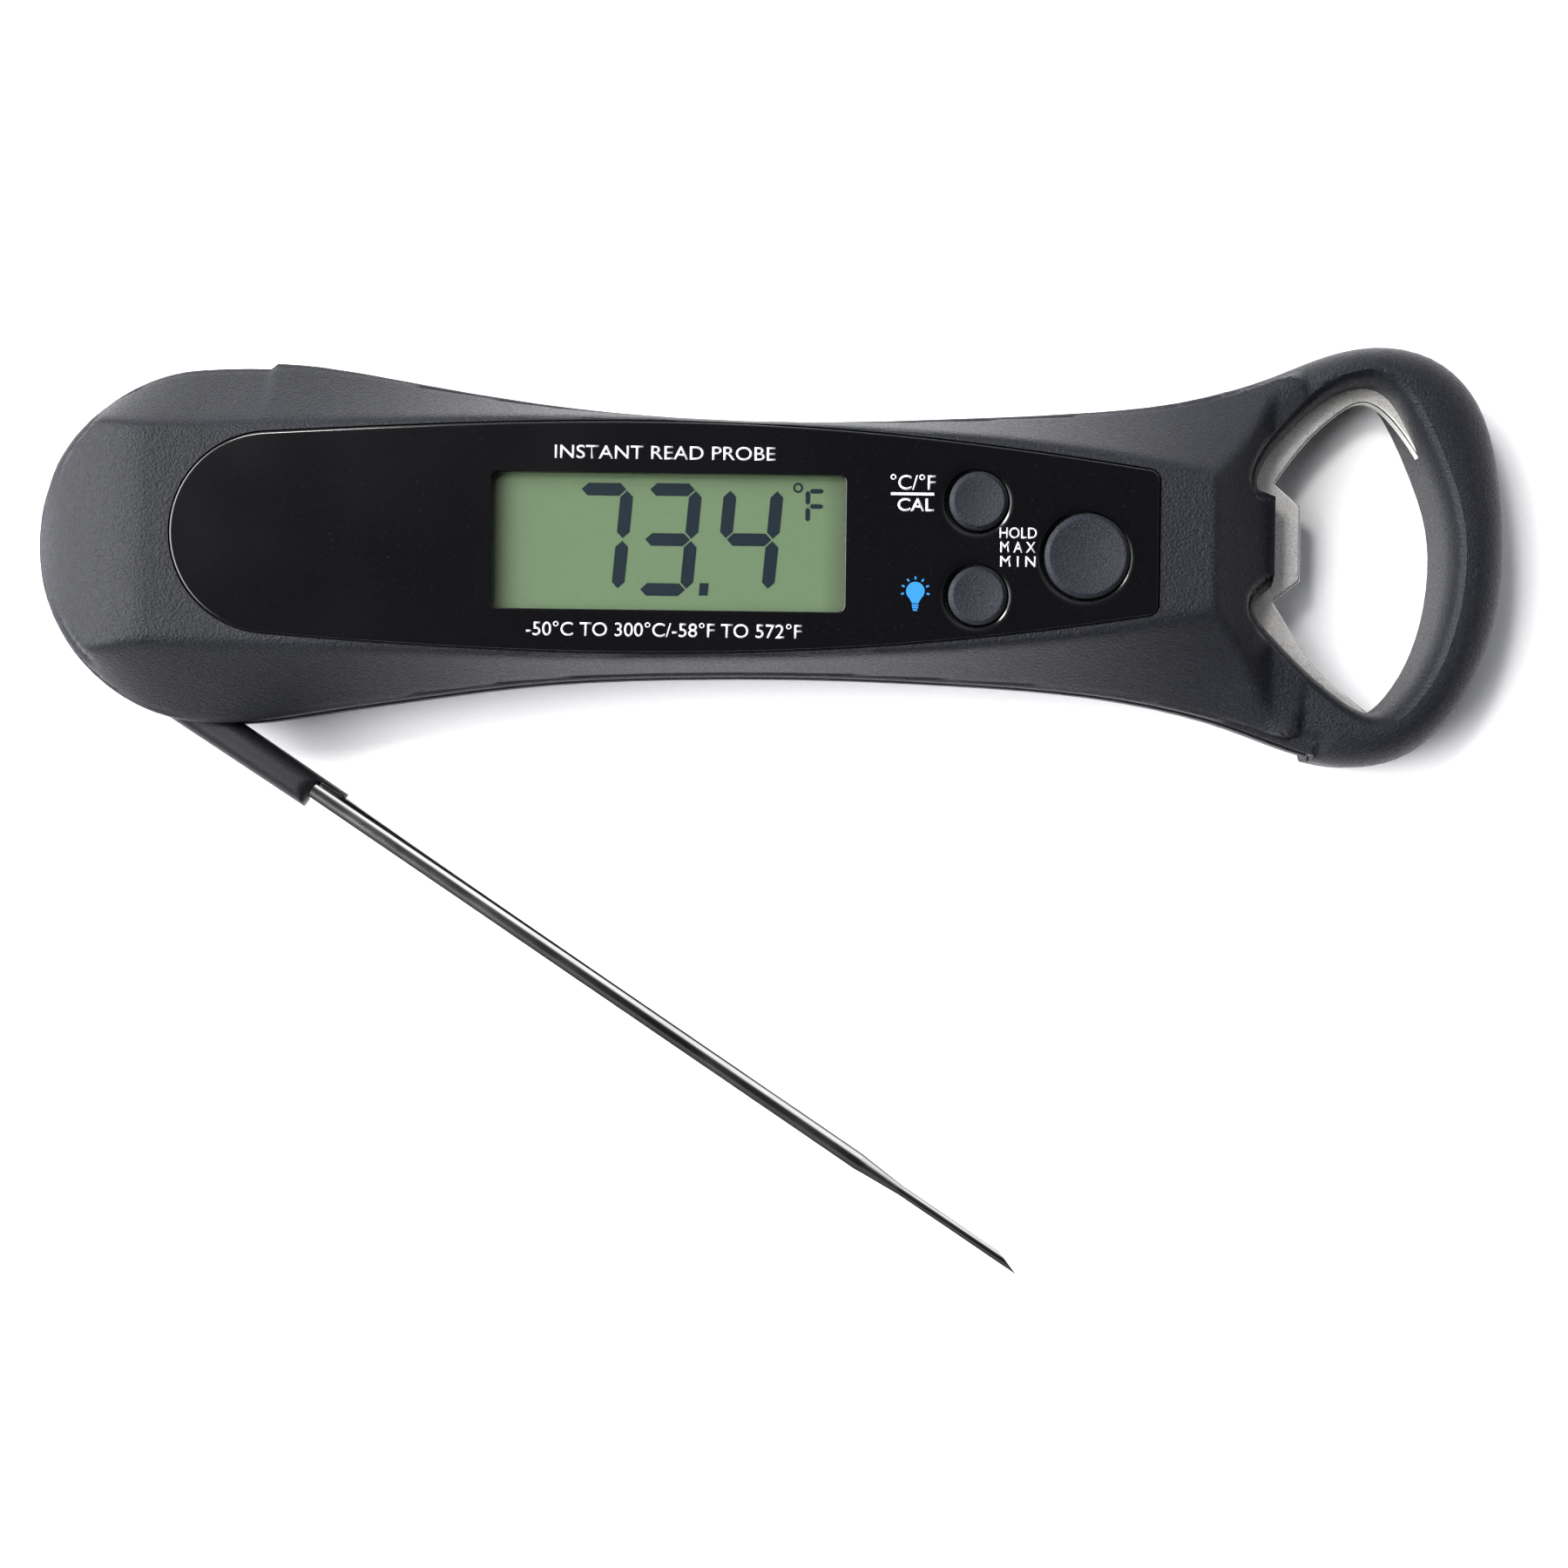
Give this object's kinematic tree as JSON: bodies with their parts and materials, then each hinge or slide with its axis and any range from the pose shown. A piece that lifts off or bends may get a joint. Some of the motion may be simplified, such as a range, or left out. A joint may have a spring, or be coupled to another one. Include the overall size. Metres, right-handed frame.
{
  "type": "meat thermometer",
  "caption": "Folding digital meat thermometer: slim handle with display and three keys, a stainless probe hinged into its edge, and a bottle opener loop at the end.",
  "frame": {"origin": "on the probe's pivot axis, in the plane of the handle's flat back", "axes": "+X along the handle from the pivot to the opener loop, +Z out of the display, +Y across the handle away from the probe's slot"},
  "size_m": [0.1681, 0.1081, 0.0208],
  "materials": {
    "cover_plastic": "spark-eroded satin black",
    "faceplate_plastic": "glossy black",
    "adhesive": "matte foam tape",
    "window_clear": "clear, polished",
    "lcd_glass": "grey-green reflective",
    "inner_plastic": "moulded, unfinished",
    "light_guide": "clear to milky",
    "seal_rubber": "soft matte",
    "board": "green solder mask",
    "chip_resin": "epoxy",
    "fastener_steel": "turned",
    "battery_wrap": "plain sleeve",
    "contact_metal": "nickel plated",
    "magnet": "nickel plated",
    "opener_steel": "bead blasted stainless",
    "lead_jacket": "grey jacket",
    "arm_plastic": "satin black",
    "probe_steel": "polished stainless",
    "key_plastic": "fine texture dark grey"
  },
  "bodies": {
    "housing": {"front_cover": "cover_plastic", "rear_cover": "cover_plastic", "faceplate": "faceplate_plastic", "faceplate_gasket": "adhesive", "display_window": "window_clear", "lcd_cell": "lcd_glass", "lcd_frame": "inner_plastic", "backlight_panel": "light_guide", "zebra_strip": "seal_rubber", "main_board": "board", "display_chip": "chip_resin", "backlight_led": "light_guide", "reed_switch": "lcd_glass", "board_screws": "fastener_steel", "housing_screws": "fastener_steel", "battery": "battery_wrap", "battery_spring": "contact_metal", "battery_contact": "contact_metal", "back_magnets": "magnet", "opener_plate": "opener_steel", "pivot_axle": "fastener_steel", "pivot_washer": "fastener_steel", "housing_lead": "lead_jacket", "unit_key_dome": "seal_rubber", "light_key_dome": "seal_rubber", "hold_key_dome": "seal_rubber"},
    "probe": {"probe_arm": "arm_plastic", "probe_tube": "probe_steel", "probe_sensor": "chip_resin", "probe_lead": "lead_jacket", "hub_magnet": "magnet", "hub_seal": "seal_rubber"},
    "unit_key": {"unit_key": "key_plastic"},
    "light_key": {"light_key": "key_plastic"},
    "hold_key": {"hold_key": "key_plastic"},
    "door": {"battery_door": "cover_plastic", "door_seal": "seal_rubber", "door_screw": "fastener_steel"}
  },
  "joints": [
    {"name": "probe_hinge", "type": "hinge", "parent": "housing", "child": "probe", "pos_m": [0, 0, 0.008], "axis": [0, 0, -1], "range_deg": [-33.6, 231]},
    {"name": "unit_key_press", "type": "slide", "parent": "housing", "child": "unit_key", "axis": [0, 0, -1], "range_m": [0, 0.0006], "stiffness_N_per_m": 800, "deforming": ["unit_key_dome"]},
    {"name": "light_key_press", "type": "slide", "parent": "housing", "child": "light_key", "axis": [0, 0, -1], "range_m": [0, 0.0006], "stiffness_N_per_m": 800, "deforming": ["light_key_dome"]},
    {"name": "hold_key_press", "type": "slide", "parent": "housing", "child": "hold_key", "axis": [0, 0, -1], "range_m": [0, 0.0006], "stiffness_N_per_m": 800, "deforming": ["hold_key_dome"]},
    {"name": "door_lift", "type": "slide", "parent": "housing", "child": "door", "axis": [0, 0, -1], "range_m": [0, 0.012]}
  ]
}
